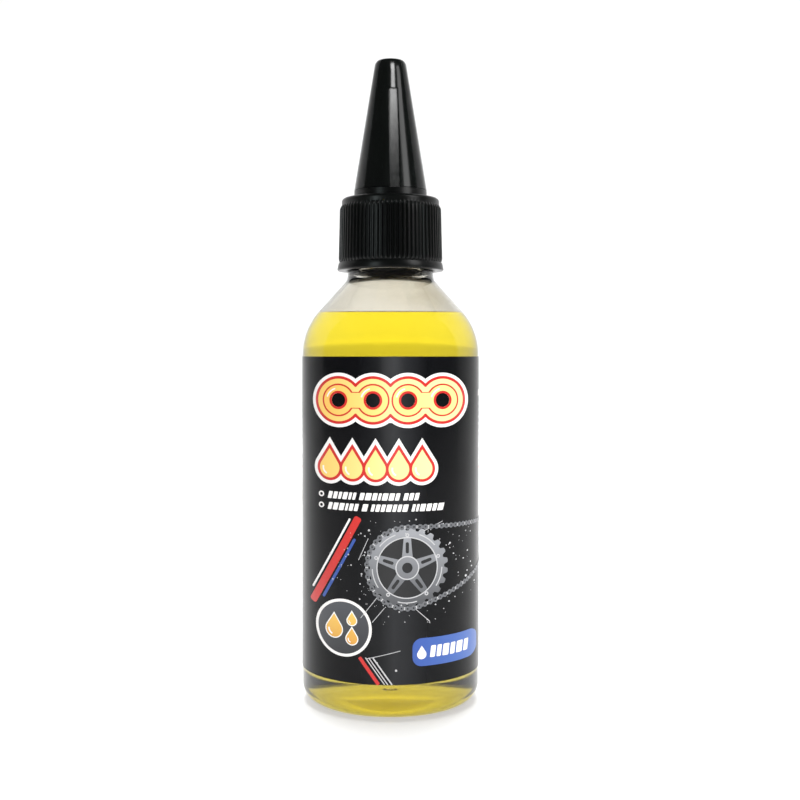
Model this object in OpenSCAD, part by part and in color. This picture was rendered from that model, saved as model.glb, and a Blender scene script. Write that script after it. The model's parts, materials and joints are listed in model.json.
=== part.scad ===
// Squeeze bottle of chain oil: clear blown bottle, screw-on drip nozzle and conical overcap.
// Millimetres, +Z up. The origin is the centre of the ring that the bottle stands on.
// The front of the label faces -Y.

/* [Bottle] */
// Outside diameter of the straight wall
body_d = 40.4; // [38:0.2:44]
// Height at which the shoulder starts
body_h = 78.5; // [76:0.5:90]
// Thickness of the blown wall
wall = 0.7; // [0.5:0.05:1]
// Radius of the heel
heel_r = 4; // [3:0.5:5]
// Width of the flat ring that the bottle stands on
foot_w = 1.7; // [1:0.1:3]
// Thickness of the base
base_t = 1; // [0.8:0.1:1.4]
// Height of the push-up in the base
push_up_h = 3; // [1.5:0.5:4]
// Radius of the arc that starts the shoulder
shoulder_r = 15; // [12:0.5:16]
// Steepest slope of the shoulder, in degrees from the vertical
shoulder_slope = 42; // [36:1:48]

/* [Neck] */
// Diameter of the plain bead above the shoulder
bead_d = 19.5; // [19:0.1:20]
// Height of the bead
bead_h = 3.6; // [2.5:0.1:4.5]
// Height of the neck, from shoulder to rim
neck_h = 16.1; // [15:0.1:18]
// Diameter of the hole through the neck
neck_bore_d = 15.2; // [13:0.1:16]
// Diameter over the thread
thread_d = 19.7; // [19.4:0.1:20.2]
// Depth of the thread
thread_depth = 1; // [0.8:0.05:1.1]
// Rise of the thread in one turn
thread_pitch = 3.175; // [3:0.005:3.6]
// Turns of thread on the neck
thread_turns = 1.5; // [1.25:0.25:1.75]

/* [Oil] */
// Level of the oil above the surface that the bottle stands on
oil_level = 87; // [84:0.5:90]

/* [Label] */
// Height of the label's lower edge
label_z = 7.9; // [5:0.1:8]
// Height of the label film
label_h = 70.2; // [60:0.1:70.4]
// Thickness of the film
film_t = 0.08; // [0.06:0.01:0.12]
// Width of the film round the bottle, which leaves a window at the back
label_w = 100; // [80:1:118]
// Height of one printed layer
ink_t = 0.04; // [0.03:0.01:0.06]

/* [Print] */
// Distance from one pin of the printed chain to the next
chain_pitch = 7.5; // [7.2:0.1:7.8]
// Number of pins in the printed chain
chain_pins = 4; // [3:1:4]
// Radius of the printed plates' ends
plate_r = 4.6; // [3.5:0.1:4.8]
// Radius of the plates' pin holes
pin_hole_r = 1.5; // [1:0.1:2]
// Distance of the printed chain's middle below the film's upper edge
chain_drop = 9.4; // [8:0.1:12]
// Distance from one printed drop to the next
drop_pitch = 5; // [4.5:0.1:6]
// Number of printed drops
drop_n = 5; // [3:1:5]
// Radius of a printed drop
drop_r = 2.2; // [1.5:0.1:2.4]
// Distance of the printed drops' middle below the film's upper edge
drops_drop = 24.1; // [22:0.1:25]
// Width of the red edge round the chain and the drops
edge_w = 0.6; // [0.3:0.1:0.8]
// Width of the red and the white edge together
halo_w = 1.3; // [1:0.1:1.4]
// Width of the printed blue plate, as seen from the front
plaque_w = 14.6; // [10:0.1:16]
// Height of the blue plate
plaque_h = 6; // [4:0.1:7]
// Distance of the blue plate's middle above the film's lower edge
plaque_rise = 6.8; // [5:0.1:9]
// Radius of the printed ring at the lower left
ring_r = 6.2; // [4:0.1:6.5]
// Width of the ring's line
ring_line = 0.6; // [0.4:0.1:0.8]
// Distance of the ring's middle above the film's lower edge
ring_rise = 11.7; // [8:0.1:13]
// Number of teeth on the printed wheel
wheel_teeth = 24; // [18:1:32]
// Radius of the printed wheel, between its teeth
wheel_r = 8; // [6:0.1:8.5]
// Distance of the wheel's middle above the film's lower edge
wheel_rise = 25; // [22:0.5:28]

/* [Liner] */
// Thickness of the sealing ring
liner_t = 1; // [0.8:0.1:1.5]
// Diameter of its hole
liner_hole_d = 12.6; // [11:0.2:14]

/* [Closure] */
// Height of the closure, from its rim to its top deck
closure_h = 16.6; // [15:0.1:17]
// Thickness of the top deck
deck_t = 1.4; // [1.2:0.1:2]
// Wall of the skirt between the ribs
skirt_t = 1.35; // [1:0.05:1.5]
// Number of grip ribs
rib_n = 72; // [60:6:84]
// Height of a rib above the skirt
rib_h = 0.45; // [0.3:0.05:0.6]
// Width of a rib
rib_w = 0.5; // [0.4:0.05:0.6]
// Height of the plain band under the ribs
band_h = 1.8; // [1.4:0.1:2.5]
// How far the band's lower edge stands out past the ribs
band_flare = 0.25; // [0.2:0.05:0.5]
// Height of the smooth crown above the ribs
crown_h = 1.6; // [1.4:0.1:2.5]
// How much narrower the skirt is at the crown than at the band
skirt_draft = 0.3; // [0.1:0.05:0.5]

/* [Nozzle] */
// Diameter of the seat that the overcap stands on
seat_d = 16.7; // [16.2:0.1:17.5]
// Height of the seat
seat_h = 1.8; // [1.2:0.1:2.5]
// Diameter of the spigot inside the overcap
spigot_d = 14.3; // [13.8:0.1:14.6]
// Height of the spigot above the seat
spigot_h = 3.2; // [2:0.1:4.5]
// Diameter of the nozzle's foot
nozzle_d = 10.4; // [9.6:0.1:11]
// Diameter of the nozzle's tip
tip_d = 3.8; // [3.4:0.1:4.2]
// Diameter of the drip hole
drip_d = 1.5; // [1:0.1:1.8]
// Wall of the nozzle
nozzle_wall = 1.2; // [1:0.05:1.4]

/* [Overcap] */
// Height of the overcap
overcap_h = 30; // [28:0.5:34]
// Diameter of its top
overcap_top_d = 6.9; // [6.5:0.1:8]
// Thickness of its wall
overcap_wall = 1.1; // [0.95:0.05:1.2]
// Radius of its top edge
overcap_edge_r = 0.9; // [0.5:0.1:1.2]
// Number of finger flutes
flute_n = 2; // [1:1:4]
// Direction of the first flute, in degrees from the front
flute_turn = 7; // [0:1:30]
// Width of a flute
flute_w = 2.4; // [1.6:0.1:3]
// Depth of a flute
flute_depth = 0.4; // [0.2:0.05:0.6]
// Plain height above the flutes
flute_top_gap = 7.1; // [5:0.1:10]

/* [Hidden] */
$fn = 96;

// Clearances
thread_gap = 0.3;
fit_gap = 0.08;
liner_gap = 0.15;
tip_gap = 0.5;
oil_gap = 0.05;
glue_t = 0.02;
// How far a piece reaches into the one that it is fused to
sink = 0.3;
// Degrees of an arc in one straight step
arc_step = 5;

// Bottle
body_r = body_d / 2;
inner_r = body_r - wall;
heel_in_r = heel_r - wall;
foot_r = body_r - heel_r;
push_up_r = foot_r - foot_w;
dome_r = (push_up_r * push_up_r + push_up_h * push_up_h) / (2 * push_up_h);
dome_z = push_up_h - dome_r;
slope_r = body_r - shoulder_r * (1 - cos(shoulder_slope));
slope_z = body_h + shoulder_r * sin(shoulder_slope);
bead_r = bead_d / 2;
neck_z = slope_z + (slope_r - bead_r) / tan(shoulder_slope);
rim_z = neck_z + neck_h;
neck_bore_r = neck_bore_d / 2;
neck_r = thread_d / 2 - thread_depth;
bead_chamfer = 0.4;
rim_chamfer = 0.25;

// Where the sloping wall's inside meets the neck's hole
slope_in_r = inner_r - (shoulder_r - wall) * (1 - cos(shoulder_slope));
slope_in_z = body_h + (shoulder_r - wall) * sin(shoulder_slope);
bore_z = slope_in_z + (slope_in_r - neck_bore_r) / tan(shoulder_slope);

// Thread
thread_root_w = 1.8;
thread_crest_w = 0.7;
thread_top_gap = 2.2;
thread_z = rim_z - thread_top_gap - thread_turns * thread_pitch;
thread_fade = 25;
thread_step = 10;

// Label
film_r = body_r + glue_t + film_t;
label_top_z = label_z + label_h;

// Print
plate_waist = 0.62;
drop_point = 1.9;
drops_margin = 7.1;
text_h = 1.6;
text_w = 19.8;
text_step = 5.8;
text_pitch = 2.4;
text_x = -3.6;
text_gap = 30;
text_z = label_top_z - text_gap;
plaque_x = 12;
ring_x = -10.2;
wheel_x = 3.6;
wheel_rim_w = 1.4;
wheel_arms = 5;
wheel_arm_w = 1.2;
tooth_h = 0.8;
tooth_w = 0.9;
stripe_x = -12;
stripe_rise = 26;
stripe_turn = 62;
stripe_l = 22;
stripe_w = 1.6;

// Closure
closure_bore_r = thread_d / 2 + thread_gap;
skirt_r = closure_bore_r + skirt_t;
rib_r = skirt_r + rib_h;
deck_z = rim_z + liner_t;
deck_top_z = deck_z + deck_t;
closure_z = deck_top_z - closure_h;
rib_z = closure_z + band_h;
crown_z = deck_top_z - crown_h;
crown_r = skirt_r - skirt_draft;
crown_edge_r = 0.8;
band_lip = 0.3;
rib_slope_h = 1;
rib_dip = 0.05;

// Nozzle and overcap
seat_r = seat_d / 2;
seat_z = deck_top_z + seat_h;
seat_chamfer = 0.2;
spigot_r = spigot_d / 2;
spigot_z = seat_z + spigot_h;
spigot_chamfer = 0.4;
overcap_top_z = seat_z + overcap_h;
overcap_top_r = overcap_top_d / 2;
overcap_taper = atan((seat_r - overcap_top_r) / overcap_h);
overcap_ceiling_z = overcap_top_z - overcap_wall;
tip_z = overcap_ceiling_z - 2;
tip_r = tip_d / 2;
tip_chamfer = 0.3;
drip_r = drip_d / 2;
drip_l = 4;
nozzle_r = nozzle_d / 2;
socket_r = spigot_r + fit_gap;
socket_z = spigot_z + tip_gap;
pin_l = 3.4;

// Points on an arc about the centre c, from angle a to angle b
function arc(c, r, a, b) =
    let (n = max(2, ceil(abs(b - a) / arc_step)))
    [for (i = [0:n]) c + r * [cos(a + (b - a) * i / n), sin(a + (b - a) * i / n)]];

// Radius of the overcap's outside at height z
function overcap_r(z) = seat_r - (z - seat_z) * tan(overcap_taper);

// A ridge that winds up about the Z axis. It stands on the radius foot_r and reaches to crest_r.
module helix_ridge(foot_r, crest_r, z, turns) {
    out = sign(crest_r - foot_r);
    n = round(turns * 360 / thread_step);
    function share(i) = min(1, min(i, n - i) * thread_step / thread_fade);
    function section(i) =
        let (
            a = i * 360 * turns / n,
            mid = z + thread_pitch * turns * i / n,
            low = foot_r - out * sink,
            top = foot_r - out * sink / 2,
            crest = top + (crest_r - top) * share(i)
        )
        [for (p = [[low, -thread_root_w], [crest, -thread_crest_w],
                   [crest, thread_crest_w], [low, thread_root_w]])
            [p[0] * cos(a), p[0] * sin(a), mid + p[1] / 2]];
    points = [for (i = [0:n]) each section(i)];
    sides = [for (i = [0:n - 1], k = [0:3])
        let (a = 4 * i + k, b = 4 * i + (k + 1) % 4)
        each [[a, a + 4, b + 4], [a, b + 4, b]]];
    ends = [[0, 1, 2], [0, 2, 3], [4 * n, 4 * n + 2, 4 * n + 1], [4 * n, 4 * n + 3, 4 * n + 2]];
    faces = [for (f = concat(sides, ends)) out < 0 ? f : [f[2], f[1], f[0]]];
    polyhedron(points, faces);
}

module bottle() {
    outside = concat(
        arc([0, dome_z], dome_r, 90, acos(push_up_r / dome_r)),
        arc([foot_r, heel_r], heel_r, -90, 0),
        arc([body_r - shoulder_r, body_h], shoulder_r, 0, shoulder_slope),
        [
            [bead_r, neck_z],
            [bead_r, neck_z + bead_h - bead_chamfer],
            [bead_r - bead_chamfer, neck_z + bead_h],
            [neck_r, neck_z + bead_h],
            [neck_r, rim_z - rim_chamfer],
            [neck_r - rim_chamfer, rim_z],
        ]
    );
    inside = concat(
        [[neck_bore_r, rim_z], [neck_bore_r, bore_z]],
        cavity_shoulder(0),
        cavity_floor(0)
    );
    color([0.86, 0.89, 0.88, 0.45]) {
        rotate_extrude() polygon(concat(outside, inside));
        helix_ridge(neck_r, thread_d / 2, thread_z, thread_turns);
    }
}

// The inside of the shoulder from the slope down to the straight wall, moved in by gap
function cavity_shoulder(gap) =
    arc([body_r - shoulder_r, body_h], shoulder_r - wall - gap, shoulder_slope, 0);

// The inside from the straight wall round the heel to the middle of the base, moved in by gap
function cavity_floor(gap) =
    let (
        dome_in_r = dome_r + base_t + gap,
        floor_z = base_t + gap,
        meet_r = sqrt(dome_in_r * dome_in_r - (floor_z - dome_z) * (floor_z - dome_z))
    )
    concat(
        arc([inner_r - heel_in_r, base_t + heel_in_r], heel_in_r - gap, 0, -90),
        arc([0, dome_z], dome_in_r, acos(meet_r / dome_in_r), 90)
    );

module oil() {
    color([0.88, 0.80, 0.12, 0.8])
    rotate_extrude()
    intersection() {
        polygon(concat(
            [[0, bore_z], [neck_bore_r, bore_z]],
            cavity_shoulder(oil_gap),
            cavity_floor(oil_gap)
        ));
        square([body_r, oil_level]);
    }
}

module liner() {
    color("whitesmoke")
    translate([0, 0, rim_z])
    difference() {
        cylinder(r = closure_bore_r - liner_gap, h = liner_t);
        translate([0, 0, -1]) cylinder(d = liner_hole_d, h = liner_t + 2);
    }
}

// The grip ribs: the part of a plain ring that lies on the spokes of a star
module grip_ribs() {
    intersection() {
        rotate_extrude()
        polygon([
            [skirt_r - sink, rib_z],
            [rib_r, rib_z],
            [crown_r + rib_h, crown_z - rib_slope_h],
            [crown_r - rib_dip, crown_z],
            [crown_r - sink, crown_z],
        ]);
        translate([0, 0, rib_z - 1])
        linear_extrude(crown_z - rib_z + 2)
        for (i = [0:rib_n - 1])
            rotate(i * 360 / rib_n)
            translate([closure_bore_r, -rib_w / 2])
            square([rib_r, rib_w]);
    }
}

module nozzle_cap() {
    outside = concat(
        [
            [closure_bore_r, closure_z],
            [rib_r + band_flare - band_lip, closure_z],
            [rib_r + band_flare, closure_z + band_lip],
            [rib_r, rib_z],
            [skirt_r, rib_z],
            [crown_r, crown_z],
        ],
        arc([crown_r - crown_edge_r, deck_top_z - crown_edge_r], crown_edge_r, 0, 90),
        [
            [seat_r, deck_top_z],
            [seat_r, seat_z - seat_chamfer],
            [seat_r - seat_chamfer, seat_z],
            [spigot_r, seat_z],
            [spigot_r, spigot_z - spigot_chamfer],
            [spigot_r - spigot_chamfer, spigot_z],
            [nozzle_r, spigot_z],
            [tip_r, tip_z - tip_chamfer],
            [tip_r - tip_chamfer, tip_z],
        ]
    );
    inside = [
        [drip_r, tip_z],
        [drip_r, tip_z - drip_l],
        [nozzle_r - nozzle_wall, spigot_z - nozzle_wall],
        [spigot_r - nozzle_wall, spigot_z - 2 * nozzle_wall],
        [spigot_r - nozzle_wall, deck_z],
        [closure_bore_r, deck_z],
    ];
    color([0.06, 0.06, 0.07]) {
        rotate_extrude() polygon(concat(outside, inside));
        grip_ribs();
        helix_ridge(
            closure_bore_r,
            closure_bore_r - thread_depth,
            thread_z - thread_pitch / 2,
            thread_turns
        );
    }
}

module flute_cut() {
    low = seat_z - 1;
    high = overcap_top_z - flute_top_gap;
    rotate([90, 0, 0])
    rotate([0, -90, 0])
    linear_extrude(flute_w, center = true)
    polygon([
        [overcap_r(low) - flute_depth, low],
        [overcap_r(low) + 1, low],
        [overcap_r(high) + 1, high],
        [overcap_r(high) - flute_depth, high],
    ]);
}

module overcap() {
    outside = concat(
        [[seat_r - seat_chamfer, seat_z], [seat_r, seat_z + seat_chamfer]],
        arc(
            [overcap_top_r - overcap_edge_r, overcap_top_z - overcap_edge_r],
            overcap_edge_r, overcap_taper, 90
        )
    );
    inside = [
        [0, overcap_ceiling_z],
        [overcap_r(overcap_ceiling_z) - overcap_wall, overcap_ceiling_z],
        [overcap_r(socket_z + 1) - overcap_wall, socket_z + 1],
        [socket_r, socket_z],
        [socket_r, seat_z],
    ];
    color([0.06, 0.06, 0.07]) {
        difference() {
            rotate_extrude() polygon(concat(outside, [[0, overcap_top_z]], inside));
            for (i = [0:flute_n - 1]) rotate([0, 0, flute_turn + i * 360 / flute_n]) flute_cut();
        }
        translate([0, 0, overcap_ceiling_z - pin_l])
        cylinder(r = drip_r - fit_gap, h = pin_l + overcap_wall / 2);
    }
}

// Ink on the film where the outline given lands, as seen from the front
module ink(x, z, layers = 1) {
    intersection() {
        rotate_extrude()
        translate([film_r - film_t / 2, label_z])
        square([film_t / 2 + layers * ink_t, label_h]);
        translate([x, 0, z])
        rotate([90, 0, 0])
        linear_extrude(film_r + 1)
        children();
    }
}

// A chain plate between the two pins at x = 0 and x = chain_pitch
module plate(r) {
    circle(r);
    translate([chain_pitch, 0]) circle(r);
    translate([0, -r * plate_waist]) square([chain_pitch, 2 * r * plate_waist]);
}

// A plate with its two pin holes
module pierced_plate(r) {
    difference() {
        plate(r);
        circle(pin_hole_r);
        translate([chain_pitch, 0]) circle(pin_hole_r);
    }
}

// A drop with a round foot and a point at the top
module drop(r) {
    side = acos(1 / drop_point);
    polygon(concat(arc([0, 0], r, 90 - side, 90 - side - (360 - 2 * side)), [[0, r * drop_point]]));
}

module bar(w, h, r) {
    polygon(concat(
        arc([w / 2 - r, h / 2 - r], r, 0, 90),
        arc([r - w / 2, h / 2 - r], r, 90, 180),
        arc([r - w / 2, r - h / 2], r, 180, 270),
        arc([w / 2 - r, r - h / 2], r, 270, 360)
    ));
}

module wheel(r) {
    difference() {
        union() {
            circle(r);
            for (i = [0:wheel_teeth - 1])
                rotate(i * 360 / wheel_teeth)
                translate([r - tooth_h, -tooth_w / 2])
                square([2 * tooth_h, tooth_w]);
        }
        circle(r - wheel_rim_w);
    }
    difference() {
        circle(r * 0.32);
        circle(r * 0.14);
    }
    for (i = [0:wheel_arms - 1])
        rotate(i * 360 / wheel_arms)
        translate([r * 0.25, -wheel_arm_w / 2])
        square([r * 0.75 - wheel_rim_w / 2, wheel_arm_w]);
}

// The film, centred on the front, with its window at the back
module film() {
    film_angle = label_w / film_r * 180 / PI;
    rotate([0, 0, -90 - film_angle / 2])
    rotate_extrude(angle = film_angle)
    translate([film_r - film_t, label_z])
    square([film_t, label_h]);
}

module label() {
    chain_z = label_top_z - chain_drop;
    chain_x = -chain_pitch * (chain_pins - 1) / 2;
    drops_z = label_top_z - drops_drop;
    drops_x = -film_r + drops_margin;
    color([0.05, 0.05, 0.06]) film();
    color("white") {
        for (i = [0:chain_pins - 2])
            ink(chain_x + i * chain_pitch, chain_z)
            pierced_plate(plate_r + halo_w);
        for (i = [0:drop_n - 1]) ink(drops_x + i * drop_pitch, drops_z) drop(drop_r + halo_w);
        ink(ring_x, label_z + ring_rise) difference() {
            circle(ring_r);
            circle(ring_r - ring_line);
        }
        for (i = [0:1])
            ink(text_x + i * text_step / 2, text_z - i * text_pitch)
            bar(text_w + i * text_step, text_h, text_h / 3);
    }
    color([0.8, 0.12, 0.12]) {
        for (i = [0:chain_pins - 2])
            ink(chain_x + i * chain_pitch, chain_z, 2)
            pierced_plate(plate_r + edge_w);
        for (i = [0:drop_n - 1]) ink(drops_x + i * drop_pitch, drops_z, 2) drop(drop_r + edge_w);
        ink(stripe_x, label_z + stripe_rise)
        rotate(stripe_turn)
        bar(stripe_l, stripe_w, stripe_w / 3);
    }
    color([0.98, 0.86, 0.5]) {
        for (i = [0:chain_pins - 2]) ink(chain_x + i * chain_pitch, chain_z, 3) pierced_plate(plate_r);
        for (i = [0:drop_n - 1]) ink(drops_x + i * drop_pitch, drops_z, 3) drop(drop_r);
    }
    color([0.22, 0.33, 0.62]) ink(plaque_x, label_z + plaque_rise) bar(plaque_w, plaque_h, plaque_h / 3);
    color([0.55, 0.56, 0.58]) ink(wheel_x, label_z + wheel_rise) wheel(wheel_r);
}

bottle();
oil();
label();
liner();
nozzle_cap();
overcap();
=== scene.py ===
"""Looks of the chain oil bottle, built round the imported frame.

Lengths in the tables below are millimetres in the frame of the part: +Z up, the label's front towards -Y.
"""

import json
import math
import random

import bmesh
import bpy
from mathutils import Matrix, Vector

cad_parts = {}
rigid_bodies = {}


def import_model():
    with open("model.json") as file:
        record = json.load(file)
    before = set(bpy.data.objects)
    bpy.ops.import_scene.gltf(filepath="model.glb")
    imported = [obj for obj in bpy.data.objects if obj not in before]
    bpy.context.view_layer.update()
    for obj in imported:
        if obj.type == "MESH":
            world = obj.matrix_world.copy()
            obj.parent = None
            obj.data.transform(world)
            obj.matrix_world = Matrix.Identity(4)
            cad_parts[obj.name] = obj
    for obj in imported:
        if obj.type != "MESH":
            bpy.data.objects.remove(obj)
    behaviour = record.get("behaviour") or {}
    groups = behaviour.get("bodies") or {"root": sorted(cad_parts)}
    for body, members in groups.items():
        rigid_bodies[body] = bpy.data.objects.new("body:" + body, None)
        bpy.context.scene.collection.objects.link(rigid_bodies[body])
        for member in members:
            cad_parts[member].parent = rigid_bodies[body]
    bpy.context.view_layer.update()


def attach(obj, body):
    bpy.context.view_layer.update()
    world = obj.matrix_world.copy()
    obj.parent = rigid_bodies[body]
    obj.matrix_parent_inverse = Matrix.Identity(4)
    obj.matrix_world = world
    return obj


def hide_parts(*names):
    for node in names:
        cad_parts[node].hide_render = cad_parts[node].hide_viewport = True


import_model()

MM = 0.001

# Refraction of the plastic, of the oil, and of the step from one to the other
PLASTIC_IOR, OIL_IOR, WET_IOR = 1.53, 1.47, 1.041

# Sizes of the part, as in its source
BODY_R, BODY_H, WALL = 20.2, 78.5, 0.7
HEEL_R, FOOT_W, BASE_T, PUSH_UP_H = 4.0, 1.7, 1.0, 3.0
SHOULDER_R, SHOULDER_SLOPE = 15.0, 42.0
BEAD_R, BEAD_H, NECK_H, BORE_R = 9.75, 3.6, 16.1, 7.6
THREAD_R, THREAD_DEPTH, PITCH, TURNS = 9.85, 1.0, 3.175, 1.5
OIL_LEVEL = 87.0
OIL_EDGE = OIL_LEVEL + 0.8  # where the oil's climbing edge meets the wall
LABEL_Z, LABEL_H, LABEL_W, FILM_T = 7.9, 70.2, 100.0, 0.08
FILM_R = BODY_R + 0.02 + FILM_T
LABEL_TOP = LABEL_Z + LABEL_H
SLOPE = math.radians(SHOULDER_SLOPE)
SLOPE_R = BODY_R - SHOULDER_R * (1 - math.cos(SLOPE))
SLOPE_Z = BODY_H + SHOULDER_R * math.sin(SLOPE)
NECK_Z = SLOPE_Z + (SLOPE_R - BEAD_R) / math.tan(SLOPE)
RIM_Z = NECK_Z + NECK_H
NECK_R = THREAD_R - THREAD_DEPTH
DECK_Z = RIM_Z + 1.0
TOP_Z = DECK_Z + 1.4
CAP_Z = TOP_Z - 16.6
CAP_BORE_R = THREAD_R + 0.3
SKIRT_R = CAP_BORE_R + 1.35
RIB_H, RIB_N = 0.45, 72
RIB_R = SKIRT_R + RIB_H
RIB_Z = CAP_Z + 1.8
CROWN_Z = TOP_Z - 1.6
CROWN_R = SKIRT_R - 0.3
SEAT_R, SEAT_H = 8.35, 1.8
SEAT_Z = TOP_Z + SEAT_H
SPIGOT_R, SPIGOT_Z = 7.15, SEAT_Z + 3.2
OVER_H, OVER_TOP_R, OVER_WALL = 30.0, 3.45, 1.1
OVER_TOP_Z = SEAT_Z + OVER_H
TAPER = math.atan((SEAT_R - OVER_TOP_R) / OVER_H)
CEILING_Z = OVER_TOP_Z - OVER_WALL
TIP_R, TIP_Z, DRIP_R = 1.9, CEILING_Z - 2, 0.75
NOZZLE_R, NOZZLE_WALL = 5.2, 1.2
FLUTE_W, FLUTE_DEPTH, FLUTE_TURN, FLUTE_TOP = 2.4, 0.4, 7.0, 7.1
THREAD_Z = RIM_Z - 2.2 - TURNS * PITCH


# ---------------------------------------------------------------- mesh helpers


def bow(x, z, r, a, b, n):
    """n + 1 points on the circle of radius r round (x, z), from angle a to b in degrees."""
    turns = [math.radians(a + (b - a) * i / n) for i in range(n + 1)]
    return [(x + r * math.cos(t), z + r * math.sin(t)) for t in turns]


def arc(x, z, r, a, b, step=3.0):
    """Points of an arc from angle a to b, at most step degrees apart."""
    return bow(x, z, r, a, b, max(2, math.ceil(abs(b - a) / step)))


def line(p, q, n):
    """n points from p to q, without p."""
    return [(p[0] + (q[0] - p[0]) * i / n, p[1] + (q[1] - p[1]) * i / n) for i in range(1, n + 1)]


def mesh_object(name, verts, faces, mat, smooth_angle=35.0):
    mesh = bpy.data.meshes.new(name)
    mesh.from_pydata([(x * MM, y * MM, z * MM) for x, y, z in verts], [], faces)
    mesh.validate()
    mesh.update()
    mesh.materials.append(mat)
    for p in mesh.polygons:
        p.use_smooth = True
    mesh.set_sharp_from_angle(angle=math.radians(smooth_angle))
    obj = bpy.data.objects.new(name, mesh)
    bpy.context.collection.objects.link(obj)
    return obj


def turned(name, profile, angles, mat, radius=None, smooth_angle=35.0):
    """A solid of revolution. profile lists (r, z). radius(r, z, angle, i) may change each ring's radius."""
    if isinstance(angles, int):
        angles = [2 * math.pi * k / angles for k in range(angles)]
    verts, faces, rings = [], [], []
    for i, (r, z) in enumerate(profile):
        start = len(verts)
        if r < 1e-6:
            verts.append((0.0, 0.0, z))
        else:
            for a in angles:
                rr = radius(r, z, a, i) if radius else r
                verts.append((rr * math.cos(a), rr * math.sin(a), z))
        rings.append(list(range(start, len(verts))))
    pairs = list(zip(rings, rings[1:]))
    if len(rings[0]) > 1 and len(rings[-1]) > 1:
        pairs.append((rings[-1], rings[0]))
    for low, high in pairs:
        join_rings(faces, low, high)
    return mesh_object(name, verts, faces, mat, smooth_angle)


def join_rings(faces, low, high):
    """Faces between two closed rings of vertices, either of which may be a single point."""
    n = max(len(low), len(high))
    for k in range(n):
        q = (k + 1) % n
        if len(low) == 1:
            faces.append((low[0], high[q], high[k]))
        elif len(high) == 1:
            faces.append((low[k], low[q], high[0]))
        else:
            faces.append((low[k], low[q], high[q], high[k]))


def smoothstep(x):
    x = min(max(x, 0.0), 1.0)
    return x * x * (3 - 2 * x)


def thread_height(z, a, z0, turns, root_w=1.8, crest_w=0.7, fade=25.0):
    """Share of the full depth that the thread has at height z and angle a."""
    best = 0.0
    for k in range(-1, int(turns) + 2):
        turn = a / (2 * math.pi) + k
        if turn < 0 or turn > turns:
            continue
        d = abs(z - (z0 + PITCH * turn))
        h = min(max((root_w / 2 - d) / ((root_w - crest_w) / 2), 0.0), 1.0)
        ends = min(turn, turns - turn) * 360 / fade
        best = max(best, smoothstep(h) * min(1.0, ends))
    return best


# ---------------------------------------------------------------- materials


def material(name):
    mat = bpy.data.materials.new(name)
    mat.use_nodes = True
    tree = mat.node_tree
    return mat, tree, tree.nodes["Principled BSDF"], tree.nodes["Material Output"]


def object_coords(tree, scale=(1, 1, 1)):
    coords = tree.nodes.new("ShaderNodeTexCoord")
    mapping = tree.nodes.new("ShaderNodeMapping")
    mapping.inputs["Scale"].default_value = scale
    tree.links.new(coords.outputs["Object"], mapping.inputs["Vector"])
    return mapping.outputs["Vector"]


def noise(tree, vector, scale, detail=2.0, rough=0.5):
    n = tree.nodes.new("ShaderNodeTexNoise")
    n.inputs["Scale"].default_value = scale
    n.inputs["Detail"].default_value = detail
    n.inputs["Roughness"].default_value = rough
    tree.links.new(vector, n.inputs["Vector"])
    return n.outputs["Fac"]


def ramp(tree, value, stops):
    n = tree.nodes.new("ShaderNodeValToRGB")
    elements = n.color_ramp.elements
    while len(elements) < len(stops):
        elements.new(0.5)
    for e, (pos, colour) in zip(elements, stops):
        e.position = pos
        e.color = (*colour, 1.0) if len(colour) == 3 else colour
    tree.links.new(value, n.inputs["Fac"])
    return n.outputs["Color"]


def spread(tree, value, low, high):
    """Carries a value from the range 0 to 1 into the range low to high."""
    n = tree.nodes.new("ShaderNodeMapRange")
    n.inputs["To Min"].default_value = low
    n.inputs["To Max"].default_value = high
    tree.links.new(value, n.inputs["Value"])
    return n.outputs["Result"]


def bump(tree, bsdf, value, distance, strength=1.0):
    n = tree.nodes.new("ShaderNodeBump")
    n.inputs["Distance"].default_value = distance * MM
    n.inputs["Strength"].default_value = strength
    tree.links.new(value, n.inputs["Height"])
    tree.links.new(n.outputs["Normal"], bsdf.inputs["Normal"])


def spread_from(tree, value, low, high):
    """Carries a value from the range low to high into the range 0 to 1."""
    n = tree.nodes.new("ShaderNodeMapRange")
    n.inputs["From Min"].default_value = low
    n.inputs["From Max"].default_value = high
    tree.links.new(value, n.inputs["Value"])
    return n.outputs["Result"]


def along(tree, vector, axis):
    """The X, Y or Z of a vector."""
    n = tree.nodes.new("ShaderNodeSeparateXYZ")
    tree.links.new(vector, n.inputs["Vector"])
    return n.outputs[axis]


def combined(tree, operation, a, b):
    n = tree.nodes.new("ShaderNodeMath")
    n.operation = operation
    tree.links.new(a, n.inputs[0])
    tree.links.new(b, n.inputs[1])
    return n.outputs["Value"]


def blended(tree, kind, share, a, b):
    """Colour a with colour b multiplied or added in, by share."""
    n = tree.nodes.new("ShaderNodeMix")
    n.data_type = "RGBA"
    n.blend_type = kind
    for socket, value in ((0, share), (6, a), (7, b)):
        tree.links.new(value, n.inputs[socket])
    return n.outputs[2]


# Tint of the clear plastic, darker from where it faces the eye to its edges: partly the longer path through the
# tinted wall, partly painted shade at the edges
CLEAR_TINT_AND_EDGE_SHADE = [
    (0.0, (0.93, 0.91, 0.85)),
    (0.35, (0.885, 0.865, 0.80)),
    (0.7, (0.74, 0.72, 0.64)),
    (1.0, (0.55, 0.53, 0.46)),
]
# Tint of the thin film of oil on the wall above the level
SMEAR = [(0.35, (0.93, 0.915, 0.87)), (0.55, (0.86, 0.835, 0.77)), (0.75, (0.79, 0.76, 0.66))]


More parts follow.
